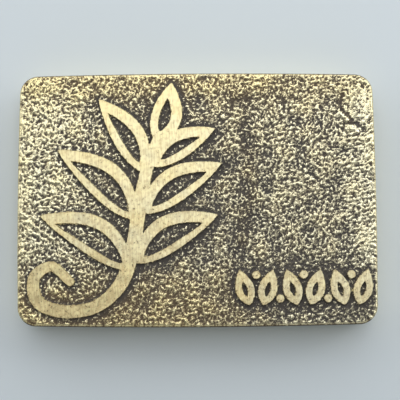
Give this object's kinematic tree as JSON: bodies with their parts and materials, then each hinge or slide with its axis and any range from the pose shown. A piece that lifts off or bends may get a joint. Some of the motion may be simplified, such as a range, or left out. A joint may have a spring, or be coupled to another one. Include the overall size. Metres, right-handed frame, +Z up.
{
  "type": "paperweight",
  "caption": "Cast brass paperweight: a thick rounded rectangular block with a raised leafy sprig and a border of buds on its stippled face, and a felt pad underneath.",
  "frame": {"origin": "centre of the felt pad's underside, the face that the paperweight rests on", "axes": "+X along the long sides towards the border of buds, +Y towards the sprig's tip, +Z up out of the decorated face"},
  "size_m": [0.09, 0.064, 0.0117],
  "materials": {
    "cast_brass": "sand-cast and darkened, with the raised strokes, the high points of the ground and the edges rubbed bright",
    "adhesive_film": "translucent double-sided film",
    "wool_felt": "pressed wool felt, dark green, die-cut edge"
  },
  "bodies": {
    "root": {"brass_casting": "cast_brass", "adhesive_film": "adhesive_film", "felt_pad": "wool_felt"}
  },
  "joints": []
}
